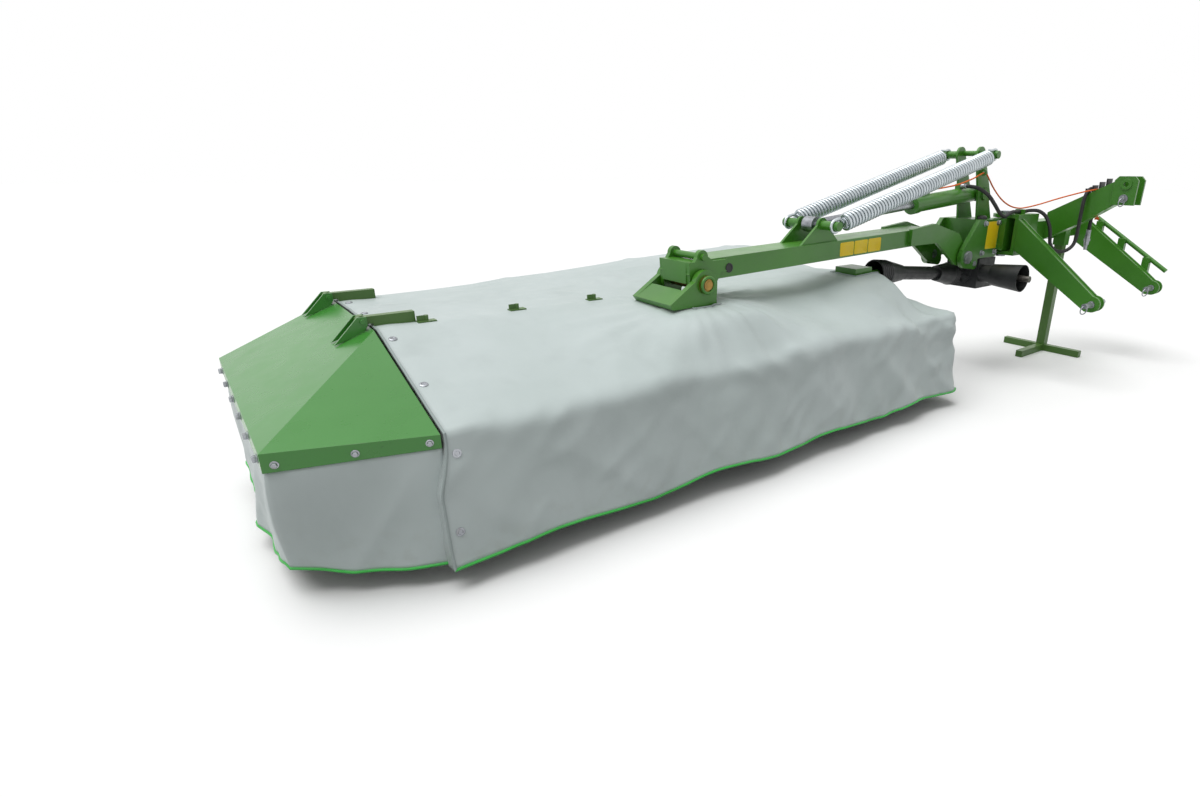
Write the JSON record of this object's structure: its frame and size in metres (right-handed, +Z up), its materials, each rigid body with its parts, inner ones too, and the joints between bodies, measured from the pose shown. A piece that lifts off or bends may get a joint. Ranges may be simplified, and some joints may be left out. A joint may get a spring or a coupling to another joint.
{
  "type": "rear mounted disc mower",
  "caption": "Rear mounted disc mower with a fabric cover over its cutter bar, a central boom with relief springs, and a three point hitch on a parking stand.",
  "frame": {"origin": "middle of the machine's box on the ground, parked", "axes": "+X from the outer end of the cover to the hitch, +Y to the rear, against the travel, +Z up"},
  "size_m": [4.7117, 1.599, 1.23],
  "materials": {
    "green_paint": "painted",
    "dark_green_paint": "painted",
    "zinc": "zinc plated",
    "steel": "bare",
    "black_iron": "painted",
    "black_plastic": "matt",
    "brass_zinc": "yellow zinc plated",
    "cover_fabric": "satin",
    "rubber": "matt",
    "orange_rope": "woven"
  },
  "bodies": {
    "frame": {"three_point_frame": "green_paint", "kingpin": "zinc", "lower_arm_near": "green_paint", "lower_arm_far": "green_paint", "top_link_beam": "green_paint", "hitch_pins": "zinc", "latch_rod": "dark_green_paint", "hose_comb": "black_plastic", "hose_tractor": "rubber", "hose_coupler": "zinc"},
    "stand": {"parking_stand": "dark_green_paint"},
    "head": {"swing_head": "green_paint", "spring_tower": "green_paint", "angle_gearbox": "black_iron", "input_guard": "black_plastic", "input_shaft": "steel", "boom_pins": "zinc", "hose_lift": "rubber", "rope_lock": "orange_rope"},
    "boom": {"boom": "green_paint", "spring_bracket": "green_paint"},
    "mower": {"carrier": "green_paint", "mower_pin": "brass_zinc", "main_beam": "green_paint", "end_plates": "green_paint", "cutter_bar": "green_paint", "skids": "steel", "mower_gearbox": "green_paint", "cover_rails": "dark_green_paint", "cover_bows": "dark_green_paint", "cover": "cover_fabric", "cover_clips": "dark_green_paint", "hood_arms": "dark_green_paint"},
    "hood": {"end_hood": "green_paint", "end_curtain": "cover_fabric"},
    "disc_1_rotor": {"disc_1": "steel"},
    "disc_2_rotor": {"disc_2": "steel"},
    "disc_3_rotor": {"disc_3": "steel"},
    "disc_4_rotor": {"disc_4": "steel"},
    "disc_5_rotor": {"disc_5": "steel"},
    "disc_6_rotor": {"disc_6": "steel"},
    "barrel": {"lift_barrel": "green_paint"},
    "rod": {"lift_rod": "zinc"},
    "spring_front": {"relief_spring_front": "zinc"},
    "spring_rear": {"relief_spring_rear": "zinc"},
    "drive_swing": {"drive_joint": "black_plastic"},
    "drive_tilt": {"drive_inner": "black_plastic"},
    "drive_slide": {"drive_outer": "black_plastic"}
  },
  "joints": [
    {"name": "breakaway_swing", "type": "hinge", "parent": "frame", "child": "head", "pos_m": [1.4085, -0.1855, 0.76], "axis": [0, 0, 1], "range_deg": [-20, 0], "deforming": ["hose_lift", "rope_lock"]},
    {"name": "boom_lift", "type": "hinge", "parent": "head", "child": "boom", "pos_m": [1.0115, -0.0775, 0.655], "axis": [0, 1, 0], "range_deg": [-10, 62], "deforming": ["hose_lift", "rope_lock"]},
    {"name": "mower_tilt", "type": "hinge", "parent": "boom", "child": "mower", "pos_m": [-0.8515, -0.0775, 0.69], "axis": [0, 1, 0], "range_deg": [-2, 12]},
    {"name": "hood_fold", "type": "hinge", "parent": "mower", "child": "hood", "pos_m": [-1.9845, 0.1545, 0.64], "axis": [0, 1, 0], "range_deg": [0, 95]},
    {"name": "stand_slide", "type": "slide", "parent": "frame", "child": "stand", "axis": [0, 0, 1], "range_m": [0, 0.3]},
    {"name": "disc_1_spin", "type": "hinge", "parent": "mower", "child": "disc_1_rotor", "pos_m": [-1.9215, -0.0775, 0.135], "axis": [0, 0, 1], "continuous": true},
    {"name": "disc_2_spin", "type": "hinge", "parent": "mower", "child": "disc_2_rotor", "pos_m": [-1.4995, -0.0775, 0.135], "axis": [0, 0, 1], "continuous": true},
    {"name": "disc_3_spin", "type": "hinge", "parent": "mower", "child": "disc_3_rotor", "pos_m": [-1.0775, -0.0775, 0.135], "axis": [0, 0, 1], "continuous": true},
    {"name": "disc_4_spin", "type": "hinge", "parent": "mower", "child": "disc_4_rotor", "pos_m": [-0.6555, -0.0775, 0.135], "axis": [0, 0, 1], "continuous": true},
    {"name": "disc_5_spin", "type": "hinge", "parent": "mower", "child": "disc_5_rotor", "pos_m": [-0.2335, -0.0775, 0.135], "axis": [0, 0, 1], "continuous": true},
    {"name": "disc_6_spin", "type": "hinge", "parent": "mower", "child": "disc_6_rotor", "pos_m": [0.1885, -0.0775, 0.135], "axis": [0, 0, 1], "continuous": true},
    {"name": "barrel_swing", "type": "hinge", "parent": "head", "child": "barrel", "pos_m": [1.2085, -0.0775, 0.9852], "axis": [0, 1, 0], "range_deg": [-12, 62]},
    {"name": "rod_slide", "type": "slide", "parent": "barrel", "child": "rod", "axis": [-0.9966, 0, -0.0822], "range_m": [-0.4, 0.07]},
    {"name": "spring_front_swing", "type": "hinge", "parent": "head", "child": "spring_front", "pos_m": [1.1185, -0.2145, 1.188], "axis": [0, 1, 0], "range_deg": [-12, 66], "deforming": ["relief_spring_front"]},
    {"name": "spring_rear_swing", "type": "hinge", "parent": "head", "child": "spring_rear", "pos_m": [1.1185, 0.0595, 1.188], "axis": [0, 1, 0], "range_deg": [-12, 66], "deforming": ["relief_spring_rear"]},
    {"name": "drive_swing", "type": "hinge", "parent": "head", "child": "drive_swing", "pos_m": [1.0885, -0.0775, 0.545], "axis": [0, 1, 0], "range_deg": [-10, 55]},
    {"name": "drive_tilt", "type": "hinge", "parent": "drive_swing", "child": "drive_tilt", "pos_m": [1.0885, -0.0775, 0.545], "axis": [0, 1, 0], "range_deg": [-22, 5]},
    {"name": "drive_slide", "type": "slide", "parent": "drive_tilt", "child": "drive_slide", "axis": [-0.9955, 0, 0.0952], "range_m": [-0.02, 0.08]}
  ],
  "couplings": [
    {"joint": "disc_2_spin", "follows": "disc_1_spin", "ratio": -1},
    {"joint": "disc_3_spin", "follows": "disc_1_spin", "ratio": 1},
    {"joint": "disc_4_spin", "follows": "disc_1_spin", "ratio": -1},
    {"joint": "disc_5_spin", "follows": "disc_1_spin", "ratio": 1},
    {"joint": "disc_6_spin", "follows": "disc_1_spin", "ratio": -1},
    {"joint": "barrel_swing", "follows": "boom_lift", "ratio": 0.93},
    {"joint": "rod_slide", "follows": "boom_lift", "m_per_rad": -0.36},
    {"joint": "spring_front_swing", "follows": "boom_lift", "ratio": 1},
    {"joint": "spring_rear_swing", "follows": "boom_lift", "ratio": 1},
    {"joint": "drive_swing", "follows": "boom_lift", "ratio": 0.84},
    {"joint": "drive_tilt", "follows": "mower_tilt", "ratio": -1.75},
    {"joint": "drive_slide", "follows": "boom_lift", "m_per_rad": 0.06}
  ]
}
